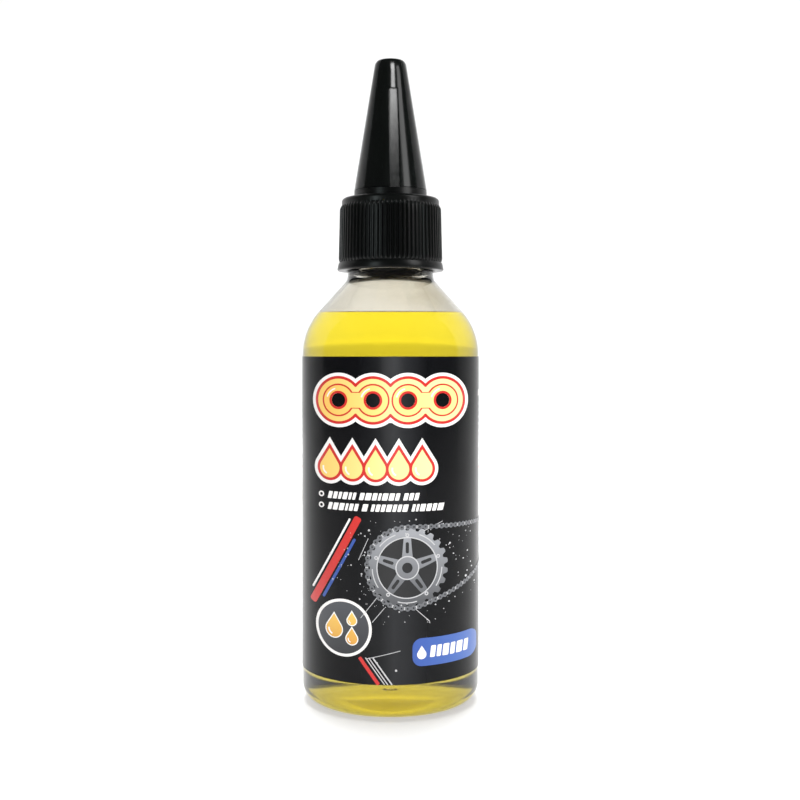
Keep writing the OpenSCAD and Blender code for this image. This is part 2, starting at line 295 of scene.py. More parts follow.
def clear_plastic():
    """Blown clear plastic: slightly uneven, drawn out along the bottle's axis."""
    mat, tree, bsdf, _ = material("clear_plastic")
    facing = tree.nodes.new("ShaderNodeLayerWeight")
    facing.inputs["Blend"].default_value = 0.5
    # Partly painted shade: the plastic's colour darkens towards its edges as seen from the eye
    tint_and_edge_shade = ramp(tree, facing.outputs["Facing"], CLEAR_TINT_AND_EDGE_SHADE)
    # Above its level the oil has left a thin uneven film on the wall, mostly on the right
    coords = object_coords(tree)
    above = spread_from(tree, along(tree, coords, "Z"), (OIL_LEVEL + 0.5) * MM, (OIL_LEVEL + 4) * MM)
    right = spread_from(tree, along(tree, coords, "X"), -10 * MM, 14 * MM)
    smear = ramp(tree, noise(tree, object_coords(tree, (1, 1, 0.5)), 130.0, 4.0, 0.6), SMEAR)
    colour = blended(tree, "MULTIPLY", combined(tree, "MULTIPLY", above, right), tint_and_edge_shade, smear)
    tree.links.new(colour, bsdf.inputs["Base Color"])
    bsdf.inputs["Transmission Weight"].default_value = 1.0
    bsdf.inputs["IOR"].default_value = PLASTIC_IOR
    streaks = noise(tree, object_coords(tree, (1.0, 1.0, 0.35)), 180.0, 3.0)
    tree.links.new(spread(tree, streaks, 0.02, 0.11), bsdf.inputs["Roughness"])
    bump(tree, bsdf, noise(tree, object_coords(tree, (1.0, 1.0, 0.5)), 60.0, 1.0), 0.12, 0.5)
    return mat


def wet_plastic():
    """The wall's inner side where the oil touches it: light passes from plastic to oil."""
    mat, tree, bsdf, _ = material("wet_plastic")
    bsdf.inputs["Base Color"].default_value = (0.86, 0.82, 0.83, 1)
    bsdf.inputs["Transmission Weight"].default_value = 1.0
    bsdf.inputs["IOR"].default_value = WET_IOR
    rough = spread(tree, noise(tree, object_coords(tree), 180.0), 0.01, 0.04)
    tree.links.new(rough, bsdf.inputs["Roughness"])
    return mat


def oil_liquid():
    """Clear yellow oil, which bends light at its top alone."""
    mat, tree, bsdf, out = material("oil_liquid")
    bsdf.inputs["Base Color"].default_value = (1, 1, 1, 1)
    bsdf.inputs["Transmission Weight"].default_value = 1.0
    bsdf.inputs["IOR"].default_value = OIL_IOR
    # The oil touches the wall, and there the wall's own inner side does the bending
    coords = object_coords(tree)
    flat = tree.nodes.new("ShaderNodeVectorMath")
    flat.operation = "MULTIPLY"
    tree.links.new(coords, flat.inputs[0])
    flat.inputs[1].default_value = (1, 1, 0)
    out_dot = tree.nodes.new("ShaderNodeVectorMath")
    out_dot.operation = "DOT_PRODUCT"
    tree.links.new(flat.outputs["Vector"], out_dot.inputs[0])
    tree.links.new(tree.nodes.new("ShaderNodeNewGeometry").outputs["Normal"], out_dot.inputs[1])
    high = spread_from(tree, along(tree, coords, "Z"), (OIL_LEVEL - 0.12) * MM, (OIL_LEVEL - 0.08) * MM)
    inward = spread_from(tree, out_dot.outputs["Value"], 3 * MM, 1 * MM)
    top = combined(tree, "MULTIPLY", high, inward)
    tree.links.new(spread(tree, top, 1.0, OIL_IOR), bsdf.inputs["IOR"])
    bsdf.inputs["Roughness"].default_value = 0.0
    absorb = tree.nodes.new("ShaderNodeVolumeAbsorption")
    absorb.inputs["Color"].default_value = (0.94, 0.90, 0.05, 1)
    absorb.inputs["Density"].default_value = 100.0
    tree.links.new(absorb.outputs["Volume"], out.inputs["Volume"])
    return mat


def black_plastic(name, rough, grain):
    """Moulded black plastic with a fine eggshell grain and faint flow marks."""
    mat, tree, bsdf, _ = material(name)
    flow = noise(tree, object_coords(tree, (1, 1, 0.3)), 220.0, 3.0)
    colour = ramp(tree, flow, [(0.3, (0.0012, 0.0017, 0.0015)), (0.7, (0.0024, 0.0033, 0.0030))])
    tree.links.new(colour, bsdf.inputs["Base Color"])
    bsdf.inputs["IOR"].default_value = 1.49
    bsdf.inputs["Specular IOR Level"].default_value = 0.3
    eggshell = noise(tree, object_coords(tree), 900.0, 2.0)
    tree.links.new(spread(tree, eggshell, rough - 0.04, rough + 0.05), bsdf.inputs["Roughness"])
    bump(tree, bsdf, noise(tree, object_coords(tree), 2600.0, 2.0), grain, 0.35)
    return mat


# Painted reflection: a soft grey band of front light, painted down the middle of the film's front
PAINTED_REFLECTION = [
    (0.0, (0.0005, 0.0005, 0.0005)),
    (0.30, (0.0005, 0.0005, 0.0008)),
    (0.44, (0.007, 0.0074, 0.008)),
    (0.52, (0.019, 0.0196, 0.021)),
    (0.58, (0.015, 0.0156, 0.017)),
    (0.72, (0.001, 0.0011, 0.0013)),
    (1.0, (0.0005, 0.0005, 0.0005)),
]
# Haze all over the film
SMOKE = [(0.45, (0.0020, 0.0022, 0.0027)), (0.62, (0.0026, 0.0028, 0.0034)), (0.8, (0.0038, 0.0041, 0.0050))]


def film_black():
    """Printed dark film: near black, with faint grey haze in the print, a painted reflection down the middle of its
    front, and a soft gloss.
    """
    mat, tree, bsdf, _ = material("film_black")
    smoke = ramp(tree, noise(tree, object_coords(tree, (1, 1, 0.45)), 75.0, 5.0, 0.6), SMOKE)
    coords = object_coords(tree)
    # Painted reflection: the grey band is added to the film's colour on its front alone
    band = ramp(tree, spread_from(tree, along(tree, coords, "X"), -18 * MM, 18 * MM), PAINTED_REFLECTION)
    front = spread_from(tree, along(tree, coords, "Y"), 2 * MM, -6 * MM)
    tree.links.new(blended(tree, "ADD", front, smoke, band), bsdf.inputs["Base Color"])
    rough = spread(tree, noise(tree, object_coords(tree), 400.0, 2.0), 0.18, 0.24)
    tree.links.new(rough, bsdf.inputs["Roughness"])
    bsdf.inputs["Specular IOR Level"].default_value = 0.15
    bump(tree, bsdf, noise(tree, object_coords(tree, (1, 1, 0.3)), 70.0, 1.0), 0.05, 0.4)
    return mat


def film_white():
    """The film's unprinted inner side, which throws light back into the oil."""
    mat, tree, bsdf, _ = material("film_white")
    pulp = noise(tree, object_coords(tree), 500.0, 3.0)
    shade = ramp(tree, pulp, [(0.3, (0.84, 0.83, 0.80)), (0.7, (0.90, 0.89, 0.86))])
    tree.links.new(shade, bsdf.inputs["Base Color"])
    bsdf.inputs["Roughness"].default_value = 0.55
    return mat


def ink(name, colour, second=None, axis=None, low=-18.0, high=18.0):
    """Printed ink with a fine mottle. Where axis is set, it runs from colour to second along that axis, in mm."""
    mat, tree, bsdf, _ = material(name)
    coords = object_coords(tree)
    mottle = noise(tree, coords, 1500.0, 2.0)
    if axis is None:
        shade = ramp(tree, mottle, [(0.3, tuple(c * 0.93 for c in colour)), (0.7, colour)])
    else:
        place = spread_from(tree, along(tree, coords, axis), low * MM, high * MM)
        shade = ramp(tree, place, [(0.0, colour), (1.0, second)])
    tree.links.new(shade, bsdf.inputs["Base Color"])
    tree.links.new(spread(tree, mottle, 0.26, 0.34), bsdf.inputs["Roughness"])
    return mat


def foam():
    mat, tree, bsdf, _ = material("foam")
    cells = noise(tree, object_coords(tree), 3000.0, 3.0)
    shade = ramp(tree, cells, [(0.3, (0.62, 0.61, 0.58)), (0.7, (0.8, 0.79, 0.76))])
    tree.links.new(shade, bsdf.inputs["Base Color"])
    bsdf.inputs["Roughness"].default_value = 0.85
    bump(tree, bsdf, cells, 0.05, 0.6)
    return mat


MAT_CLEAR = clear_plastic()
MAT_WET = wet_plastic()
MAT_OIL = oil_liquid()
MAT_CAP = black_plastic("cap_black", 0.30, 0.02)
MAT_CONE = black_plastic("cone_black", 0.15, 0.008)
MAT_FILM = film_black()
MAT_BACK = film_white()
MAT_FOAM = foam()
INK_WHITE = ink("ink_white", (0.86, 0.84, 0.82))
INK_RED = ink("ink_red", (0.56, 0.016, 0.012))
INK_CREAM = ink("ink_cream", (0.84, 0.56, 0.13), (0.88, 0.74, 0.34), "X", -16.0, 8.0)
INK_CREAM_2 = ink("ink_cream_2", (0.90, 0.50, 0.10), (0.93, 0.74, 0.26), "X", -16.0, 10.0)
INK_BLUE = ink("ink_blue", (0.022, 0.07, 0.32), (0.05, 0.13, 0.42), "X", 2.0, 20.0)
INK_GREY = ink("ink_grey", (0.045, 0.047, 0.052), (0.30, 0.31, 0.33), "Z", 24.0, 42.0)
INK_GREY_LIGHT = ink("ink_grey_light", (0.12, 0.125, 0.135))
INK_SILVER = ink("ink_silver", (0.5, 0.5, 0.51))
INK_DARK = ink("ink_dark", (0.004, 0.004, 0.005))
INK_HAZE = ink("ink_haze", (0.012, 0.013, 0.016), (0.06, 0.064, 0.075), "Z", 13.0, 26.0)
INK_AMBER = ink("ink_amber", (0.62, 0.27, 0.03), (0.85, 0.58, 0.12), "Z", 15.0, 25.0)


# ---------------------------------------------------------------- bottle and oil


def dome(r, h):
    """Centre height and radius of the sphere that a push-up of that radius and height is cut from."""
    dome_r = (r * r + h * h) / (2 * h)
    return h - dome_r, dome_r


THREAD_ROWS = 52


def bottle_outside():
    foot_r = BODY_R - HEEL_R
    push_r = foot_r - FOOT_W
    cz, r = dome(push_r, PUSH_UP_H)
    edge = math.degrees(math.acos(push_r / r))
    # The gate's mark in the middle of the base
    nub = [(0.0, 0.5), (0.8, 0.5), (1.0, 0.35), (1.15, 0.08), (1.5, 0.03)]
    points = [(x, PUSH_UP_H - h) for x, h in nub]
    points += arc(0, cz, r, 87, edge, 1.5)[:-1]
    points += [(push_r - 0.15, 0.06), (push_r + 0.05, 0.0), (foot_r - 0.8, 0.0)]
    points += arc(foot_r, HEEL_R, HEEL_R, -90, 0, 4)
    points += line((BODY_R, HEEL_R), (BODY_R, BODY_H), 14)
    points += arc(BODY_R - SHOULDER_R, BODY_H, SHOULDER_R, 0, SHOULDER_SLOPE, 2)[1:]
    # The shoulder runs into the bead in a soft curve
    root = 0.9
    slope_dir = (-math.sin(SLOPE), math.cos(SLOPE))
    length = math.hypot(SLOPE_R - BEAD_R, NECK_Z - SLOPE_Z)
    end = (SLOPE_R + slope_dir[0] * (length - root), SLOPE_Z + slope_dir[1] * (length - root))
    points += line((SLOPE_R, SLOPE_Z), end, 8)
    for t in (0.2, 0.4, 0.6, 0.8, 1.0):
        a, b = end, (BEAD_R, NECK_Z)
        c = (BEAD_R, NECK_Z + root)
        x = (1 - t) ** 2 * a[0] + 2 * t * (1 - t) * b[0] + t * t * c[0]
        z = (1 - t) ** 2 * a[1] + 2 * t * (1 - t) * b[1] + t * t * c[1]
        points.append((x, z))
    bead_top = NECK_Z + BEAD_H
    points += arc(BEAD_R - 0.4, bead_top - 0.4, 0.4, 0, 90, 22)
    points += [(NECK_R + 0.2, bead_top)] + arc(NECK_R + 0.2, bead_top + 0.2, 0.2, 270, 180, 45)[1:]
    points += line((NECK_R, bead_top + 0.2), (NECK_R, RIM_Z - 0.3), THREAD_ROWS)
    points += arc(NECK_R - 0.3, RIM_Z - 0.3, 0.3, 0, 90, 30)[1:]
    return points


def cavity(gap):
    """The inside of the bottle from the neck's hole down to the middle of the base, moved in by gap."""
    inner = SHOULDER_R - WALL - gap
    slope_r = BODY_R - SHOULDER_R + inner * math.cos(SLOPE)
    slope_z = BODY_H + inner * math.sin(SLOPE)
    bore = BORE_R - gap
    bore_z = slope_z + (slope_r - bore) / math.tan(SLOPE)
    foot_r = BODY_R - HEEL_R
    push_r = foot_r - FOOT_W
    cz, r = dome(push_r, PUSH_UP_H)
    r += BASE_T + gap
    floor_z = BASE_T + gap
    meet = math.sqrt(r * r - (floor_z - cz) ** 2)
    points = [(bore, RIM_Z), (bore, bore_z + 0.6), (bore + 0.25, bore_z - 0.3)]
    points += line((bore + 0.25, bore_z - 0.3), (slope_r, slope_z), 8)
    points += arc(BODY_R - SHOULDER_R, BODY_H, inner, SHOULDER_SLOPE, 0, 2)[1:]
    side = BODY_R - WALL - gap
    heel = HEEL_R - WALL - gap
    points += line((side, BODY_H), (side, floor_z + heel), 12)
    points += arc(side - heel, floor_z + heel, heel, 0, -90, 5)[1:]
    points += arc(0, cz, r, math.degrees(math.acos(meet / r)), 90, 2)[:-1] + [(0.0, cz + r)]
    # One ring lies where the oil's edge meets the wall
    k = next(i for i, p in enumerate(points) if p[1] < OIL_EDGE)
    (r0, z0), (r1, z1) = points[k - 1], points[k]
    t = (z0 - OIL_EDGE) / (z0 - z1)
    points.insert(k, (r0 + (r1 - r0) * t, OIL_EDGE))
    return points


PARTING_H, PARTING_W = 0.06, 0.13


def outside_radius(r, z, a):
    """The bottle's outer radius at height z and angle a, with its thread and its parting line."""
    bead_top = NECK_Z + BEAD_H
    if bead_top + 0.3 < z < RIM_Z - 0.2 and abs(r - NECK_R) < 0.05:
        return r + THREAD_DEPTH * thread_height(z, a, THREAD_Z, TURNS)
    # The mould's parting line, on both sides, where no film covers it
    d = r * min(abs(math.remainder(a, 2 * math.pi)), abs(math.remainder(a - math.pi, 2 * math.pi)))
    bare = smoothstep((LABEL_Z - 0.4 - z) / 0.6) + smoothstep((z - LABEL_TOP - 0.3) / 0.6)
    ridge = PARTING_H * math.exp(-((d / PARTING_W) ** 2))
    return r + ridge * bare * smoothstep((z - 0.4) / 1.5) * (z < bead_top)


def make_bottle():
    outside = bottle_outside()

    def radius(r, z, a, i):
        return outside_radius(r, z, a) if i < len(outside) else r

    angles = [2 * math.pi * k / 192 for k in range(192)]
    for c in (0.0, math.pi):
        angles += [(c + d) % (2 * math.pi) for d in (-0.018, -0.011, -0.0055, 0.0055, 0.011, 0.018)]
    obj = turned("bottle_clear", outside + cavity(0.0), sorted(angles), MAT_CLEAR, radius, 50)
    obj.data.materials.append(MAT_WET)
    # Faces of the inner side that the oil touches
    for p in obj.data.polygons:
        n, (x, y, z) = p.normal, p.center
        across = (n.x * x + n.y * y) / math.hypot(x, y)
        if z < 6 * MM:
            wet = n.z > 0.5 or (across < -0.3 and n.z > -0.5)
        else:
            wet = across < -0.3 and z < OIL_EDGE * MM
        p.material_index = int(wet)
    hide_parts("bottle")
    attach(obj, "bottle")


def make_oil():
    """The oil reaches a little way into the wall, so that no air lies between, and climbs it at the edge."""
    sink, climb = 0.06, 1.1
    side = [p for p in cavity(-sink) if p[1] <= OIL_EDGE + 1e-6]
    edge_r = side[0][0]
    meniscus = [(0.0, OIL_LEVEL), (edge_r * 0.5, OIL_LEVEL)]
    for d in (3.0, 2.0, 1.4, 0.9, 0.55, 0.28, 0.1, 0.0):
        meniscus.append((edge_r - d, OIL_LEVEL + (OIL_EDGE - OIL_LEVEL) * math.exp(-d / climb)))
    obj = turned("oil_fill", (meniscus + side[1:])[::-1], 192, MAT_OIL, smooth_angle=60)
    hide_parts("oil")
    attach(obj, "bottle")


# ---------------------------------------------------------------- label

CUT = 2.0  # degrees between the film's flat facets
INK_STEP = 0.02  # height of one layer of ink over the next


def make_film():
    """The film: a thin closed shell with round corners, printed outside and white inside, open at the back."""
    half = LABEL_W / FILM_R / 2
    corner = 2.5
    angles = [math.radians(k * CUT) for k in range(-90, 91)]
    angles = [a for a in angles if abs(a) < half - corner / FILM_R]
    ends = [half - d / FILM_R for d in (2.5, 2.0, 1.5, 1.0, 0.6, 0.3, 0.1, 0.0)]
    angles = [-a for a in reversed(ends)] + angles + ends
    shares = [0.0, 0.006, 0.02] + [i / 12 for i in range(1, 12)] + [0.98, 0.994, 1.0]
    verts, faces = [], []
    for r in (FILM_R, FILM_R - FILM_T):
        for a in angles:
            d = min(corner, (half - abs(a)) * FILM_R)
            inset = corner - math.sqrt(max(corner * corner - (corner - d) ** 2, 0.0))
            for t in shares:
                z = LABEL_Z + inset + t * (LABEL_H - 2 * inset)
                verts.append((r * math.sin(a), -r * math.cos(a), z))
    m, c = len(shares), len(angles)

    def at(side, i, j):
        return side * m * c + i * m + j

    for i in range(c - 1):
        for j in range(m - 1):
            faces.append((at(0, i, j), at(0, i + 1, j), at(0, i + 1, j + 1), at(0, i, j + 1)))
            faces.append((at(1, i, j), at(1, i, j + 1), at(1, i + 1, j + 1), at(1, i + 1, j)))
        faces.append((at(0, i, 0), at(1, i, 0), at(1, i + 1, 0), at(0, i + 1, 0)))
        faces.append((at(0, i, m - 1), at(0, i + 1, m - 1), at(1, i + 1, m - 1), at(1, i, m - 1)))
    for j in range(m - 1):
        faces.append((at(0, 0, j), at(0, 0, j + 1), at(1, 0, j + 1), at(1, 0, j)))
        faces.append((at(0, c - 1, j), at(1, c - 1, j), at(1, c - 1, j + 1), at(0, c - 1, j + 1)))
    obj = mesh_object("label_film", verts, faces, MAT_FILM, 40)
    obj.data.materials.append(MAT_BACK)
    for p in obj.data.polygons:
        if all(v >= m * c for v in p.vertices):
            p.material_index = 1
    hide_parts("label")
    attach(obj, "bottle")


def circle(x, z, r, n=40):
    return [(x + r * math.cos(2 * math.pi * i / n), z + r * math.sin(2 * math.pi * i / n)) for i in range(n)]


def printed(name, loops, mat, layer, flat=False):
    """Ink on the film. loops are closed outlines; one inside another is a hole.

    Their x is as seen from the front, or with flat as measured round the film from its middle.
    """
    curve = bpy.data.curves.new(name, "CURVE")
    curve.dimensions = "2D"
    curve.fill_mode = "BOTH"
    for loop in loops:
        spline = curve.splines.new("POLY")
        spline.points.add(len(loop) - 1)
        for p, (x, z) in zip(spline.points, loop):
            p.co = (x, z, 0, 1)
        spline.use_cyclic_u = True
    temp = bpy.data.objects.new(name, curve)
    bpy.context.collection.objects.link(temp)
    bpy.context.view_layer.update()
    mesh = bpy.data.meshes.new_from_object(temp.evaluated_get(bpy.context.evaluated_depsgraph_get()))
    bpy.data.objects.remove(temp)
    bpy.data.curves.remove(curve)
    bm = bmesh.new()
    bm.from_mesh(mesh)
    bmesh.ops.remove_doubles(bm, verts=bm.verts, dist=1e-5)
    xs = [v.co.x for v in bm.verts]
    for k in range(-70, 71) if flat else range(-44, 45):
        x = FILM_R * (math.radians(k * CUT) if flat else math.sin(math.radians(k * CUT)))
        if min(xs) < x < max(xs):
            geom = bm.verts[:] + bm.edges[:] + bm.faces[:]
            bmesh.ops.bisect_plane(bm, geom=geom, plane_co=(x, 0, 0), plane_no=(1, 0, 0), dist=1e-6)
    r = FILM_R + layer * INK_STEP
    for v in bm.verts:
        a = v.co.x / FILM_R if flat else math.asin(max(-0.9999, min(0.9999, v.co.x / FILM_R)))
        v.co = (r * math.sin(a) * MM, -r * math.cos(a) * MM, v.co.y * MM)
    bmesh.ops.recalc_face_normals(bm, faces=bm.faces)
    bm.normal_update()
    for f in bm.faces:
        f.smooth = True
        centre = f.calc_center_median()
        if f.normal.x * centre.x + f.normal.y * centre.y < 0:
            f.normal_flip()
    bm.to_mesh(mesh)
    bm.free()
    mesh.materials.clear()
    mesh.materials.append(mat)
    obj = bpy.data.objects.new(name, mesh)
    bpy.context.collection.objects.link(obj)
    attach(obj, "bottle")


def band_outline(pins, z, r, waist=0.62):
    """Outline of a row of round plate ends on the pins, joined by straight waists."""
    half = (pins[1] - pins[0]) / 2
    w = math.degrees(max(math.asin(waist), math.acos(min(1.0, half / r))))

    points = bow(pins[-1], z, r, w - 180, 180 - w, 48)
    for x in reversed(pins[1:-1]):
        points += bow(x, z, r, w, 180 - w, 20)
    points += bow(pins[0], z, r, w, 360 - w, 48)
    for x in pins[1:-1]:
        points += bow(x, z, r, 180 + w, 360 - w, 20)
    return points


def plate_outline(x0, x1, z, r, waist=0.62):
    """Outline of a chain plate between the pins at x0 and x1."""
    return band_outline([x0, x1], z, r, waist)


def drop_outline(x, z, r, point=1.9):
    """A drop of radius r, whose point stands point times r above its middle."""
    side = math.acos(1 / point)
    a0, a1 = math.pi / 2 - side, math.pi / 2 + side - 2 * math.pi
    turns = [a0 + (a1 - a0) * i / 40 for i in range(41)]
    return [(x + r * math.cos(t), z + r * math.sin(t)) for t in turns] + [(x, z + r * point)]


def bar_outline(x, z, w, h, r, slant=0.0, steps=6):
    """A bar with round corners of radius r, leaning by slant."""
    points, right, top = [], w / 2 - r, h / 2 - r
    for cx, cz, a in ((right, top, 0), (-right, top, 90), (-right, -top, 180), (right, -top, 270)):
        for i in range(steps + 1):
            t = math.radians(a + 90 / steps * i)
            px, pz = cx + r * math.cos(t), cz + r * math.sin(t)
            points.append((x + px + slant * pz, z + pz))
    return points


def turn(points, x, z, degrees):
    c, s = math.cos(math.radians(degrees)), math.sin(math.radians(degrees))
    return [(x + (px - x) * c - (pz - z) * s, z + (px - x) * s + (pz - z) * c) for px, pz in points]


def wheel_outline(x, z, r, teeth=24, height=0.8):
    points = []
    for i in range(teeth):
        for f, h in ((0.0, 0.0), (0.12, 0.0), (0.30, height), (0.5, height * 1.1), (0.70, height), (0.88, 0.0)):
            a = 2 * math.pi * (i + f) / teeth
            points.append((x + (r + h) * math.cos(a), z + (r + h) * math.sin(a)))
    return points


def sector(x, z, r0, r1, a0, a1, n=10):
    """Outline of a piece of a ring."""
    return bow(x, z, r1, a0, a1, n) + bow(x, z, r0, a1, a0, n)


def blocks(rng, x0, x1, z, h, slant, narrow=0.55, wide=1.25, gap=0.28):
    """A row of slanted blocks with now and then a wider gap: stands for a line of small print."""
    loops, x, run = [], x0, 0
    while x < x1 - narrow:
        w = min(rng.uniform(narrow, wide), x1 - x)
        loops.append(bar_outline(x + w / 2, z, w, h, 0.08 * h, slant, 2))
        run += 1
        x += w + gap
        if run > rng.randint(5, 8):
            x += 2.2 * gap
            run = 0
    return loops


def loop_path(c1, r1, c2, r2):
    """A belt's path round two wheels, anticlockwise from the top of the first."""
    dx, dz = c2[0] - c1[0], c2[1] - c1[1]
    d = math.hypot(dx, dz)
    lean = math.atan2(dz, dx)
    swing = math.acos((r1 - r2) / d)
    points, n = [], 48
    first, second = (lean + swing, lean - swing + 2 * math.pi), (lean - swing, lean + swing)
    for (cx, cz), r, (a, b) in ((c1, r1, first), (c2, r2, second)):
        turns = [a + (b - a) * i / n for i in range(n + 1)]
        points += [(cx + r * math.cos(t), cz + r * math.sin(t)) for t in turns]
    return points + points[:1]


def link_chain(points, pitch, r):
    """Pins at even steps along a closed path, and the outlines of the plates between them."""
    lengths = [math.hypot(b[0] - a[0], b[1] - a[1]) for a, b in zip(points, points[1:])]
    total = sum(lengths)
    n = 2 * round(total / pitch / 2)
    pins, k, done = [], 0, 0.0
    for i in range(n):
        at = total * i / n
        while done + lengths[k] < at:
            done += lengths[k]
            k += 1
        t = (at - done) / lengths[k]
        a, b = points[k], points[k + 1]
        pins.append((a[0] + (b[0] - a[0]) * t, a[1] + (b[1] - a[1]) * t))
    plates = []
    for a, b in zip(pins, pins[1:] + pins[:1]):
        length = math.hypot(b[0] - a[0], b[1] - a[1])
        angle = math.degrees(math.atan2(b[1] - a[1], b[0] - a[0]))
        shape = [(a[0] + x, a[1] + z) for x, z in plate_outline(0, length, 0, r, 0.55)]
        plates.append(turn(shape, *a, angle))
    return pins, plates


def make_print():
    pins = [-11.25 + 7.5 * i for i in range(4)]
    chain_z, r, red, halo = LABEL_TOP - 9.4, 4.6, 0.6, 1.3
    holes = [circle(x, chain_z, 1.5) for x in pins]
    printed("chain_halo", [band_outline(pins, chain_z, r + halo)] + holes, INK_WHITE, 0.5)
    printed("chain_edge", [band_outline(pins, chain_z, r + red)] + holes, INK_RED, 1.2)
    printed("chain_band", [band_outline(pins, chain_z, r)] + holes, INK_CREAM, 1.9)
    for i in (0, 2):
        pair = holes[i : i + 2]
        a, b = pins[i], pins[i + 1]
        printed(f"plate_edge_{i}", [plate_outline(a, b, chain_z, 3.55, 0.5)] + pair, INK_RED, 2.6)
        printed(f"plate_face_{i}", [plate_outline(a, b, chain_z, 3.2, 0.5)] + pair, INK_CREAM_2, 3.2)
    for i, x in enumerate(pins):
        printed(f"pin_edge_{i}", [circle(x, chain_z, 2.0), circle(x, chain_z, 1.5)], INK_RED, 3.9)
        printed(f"pin_glint_{i}", [sector(x, chain_z, 2.4, 2.7, 105, 165)], INK_WHITE, 3.9)
    drops_z, drops = LABEL_TOP - 24.1, [-13.2 + 5.0 * i for i in range(5)]
    for i, x in enumerate(drops):
        printed(f"drop_halo_{i}", [drop_outline(x, drops_z, 2.2 + halo)], INK_WHITE, 0.5 - 0.2 * (i % 2))
        printed(f"drop_edge_{i}", [drop_outline(x, drops_z, 2.2 + red)], INK_RED, 2)
        printed(f"drop_fill_{i}", [drop_outline(x, drops_z, 2.2)], INK_CREAM, 3)
        printed(f"drop_glint_{i}", [sector(x, drops_z, 1.25, 1.6, 165, 245)], INK_WHITE, 4)
    rng = random.Random(11)
    text_z = LABEL_TOP - 30.0
    for row, bars in enumerate([[(-13.5, -7.4), (-6.6, 6.3)], [(-13.5, -4.9), (-4.1, 12.2)]]):
        z = text_z - 2.4 * row
        printed(f"bullet_{row}", [circle(-15.1, z, 0.62, 20), circle(-15.1, z, 0.34, 14)], INK_WHITE, 1)
        loops = []
        for a, b in bars:
            loops += blocks(rng, a, b, z, 1.55, 0.25)
        printed(f"small_print_{row}", loops, INK_WHITE, 1)
    # Toothed wheel, with a chain that runs round it and a small wheel
    wx, wz, wr = 3.6, LABEL_Z + 25.0, 8.0
    printed("wheel_glow", [circle(wx, wz, wr - 1.4, 72)], INK_DARK, 0.3)
    printed("wheel_rim", [wheel_outline(wx, wz, wr), circle(wx, wz, wr - 1.4, 72)], INK_GREY, 1)
    printed("wheel_line", [circle(wx, wz, wr - 1.4, 72), circle(wx, wz, wr - 1.62, 72)], INK_SILVER, 1.5)
    printed("wheel_hub", [circle(wx, wz, wr * 0.32), circle(wx, wz, wr * 0.14)], INK_GREY, 1.2)
    printed("wheel_hub_line", [circle(wx, wz, wr * 0.32), circle(wx, wz, wr * 0.29)], INK_SILVER, 1.6)
    for i in range(5):
        a = 72 * i + 18
        arm = [(wx + 2.2, wz - 1.15), (wx + wr - 1.3, wz - 0.75), (wx + wr - 1.3, wz + 0.75), (wx + 2.2, wz + 1.15)]
        slot = bar_outline(wx + 4.3, wz, 2.4, 0.7, 0.34)
        printed(f"wheel_arm_{i}", [turn(arm, wx, wz, a), turn(slot, wx, wz, a)], INK_GREY, 0.7)
        bx, bz = turn([(wx + wr - 1.0, wz)], wx, wz, a)[0]
        printed(f"wheel_bolt_{i}", [circle(bx, bz, 0.42, 20), circle(bx, bz, 0.2, 12)], INK_SILVER, 2)
        printed(f"wheel_glint_{i}", [sector(wx, wz, wr - 0.62, wr - 0.4, a + 20, a + 52)], INK_SILVER, 2)
    c2, r2 = (31.5, 37.0), 3.6
    small_rim = [wheel_outline(*c2, r2, 12, 0.55), circle(*c2, r2 - 0.9, 48)]
    printed("small_wheel", small_rim, INK_GREY, 1, True)
    printed("small_wheel_hub", [circle(*c2, 1.3), circle(*c2, 0.55)], INK_SILVER, 1, True)
    for i in range(5):
        arm = bar_outline(c2[0] + 1.9, c2[1], 1.8, 0.5, 0.1)
        printed(f"small_wheel_arm_{i}", [turn(arm, *c2, 72 * i + 10)], INK_GREY, 0.7, True)
    pins_at, plates = link_chain(loop_path((wx, wz), wr + 0.75, c2, r2 + 0.55), 1.32, 0.56)
    printed("small_chain_a", plates[0::2], INK_SILVER, 2.2, True)
    printed("small_chain_b", plates[1::2], INK_GREY_LIGHT, 2.8, True)
    printed("small_chain_pins", [circle(x, z, 0.2, 10) for x, z in pins_at], INK_DARK, 3.4, True)
    sx, sz = -12.0, LABEL_Z + 26.0
    printed("stripe_red", [turn(bar_outline(sx, sz, 22.0, 1.6, 0.5), sx, sz, 62)], INK_RED, 1)
    printed("stripe_white", [turn(bar_outline(sx + 0.8, sz + 1.45, 18.0, 0.42, 0.2), sx, sz, 62)], INK_WHITE, 1)
    printed("stripe_blue", [turn(bar_outline(sx - 1.0, sz - 1.5, 15.0, 0.6, 0.28), sx, sz, 62)], INK_BLUE, 1)
    rx, rz = -10.2, LABEL_Z + 11.7
    printed("ring_ground", [circle(rx, rz, 5.7, 72)], INK_HAZE, 0.4)
    printed("ring_line", [circle(rx, rz, 6.2, 72), circle(rx, rz, 5.6, 72)], INK_WHITE, 1)
    for k, (dx, dz, size) in enumerate([(-2.0, -0.5, 1.75), (1.9, -2.2, 1.2), (1.9, 1.7, 0.95)]):
        at = (rx + dx, rz + dz)
        drop = drop_outline(*at, size)
        printed(f"ring_drop_{k}", [drop], INK_AMBER, 1)
        printed(f"ring_drop_line_{k}", [drop_outline(*at, size + 0.22), drop], INK_WHITE, 1.5)
        printed(f"ring_drop_glint_{k}", [sector(*at, size * 0.55, size * 0.75, 170, 250)], INK_WHITE, 2)
    px, pz = 12.0, LABEL_Z + 6.8
    printed("plaque", [bar_outline(px, pz, 14.6, 6.0, 2.0)], INK_BLUE, 1)
    printed("plaque_mark", [drop_outline(px - 5.3, pz - 0.5, 1.0)], INK_WHITE, 2)
    printed("plaque_print", blocks(rng, px - 3.4, px + 5.9, pz, 2.5, 0.12, 0.9, 1.35, 0.34), INK_WHITE, 2)
    dots = []
    for _ in range(150):
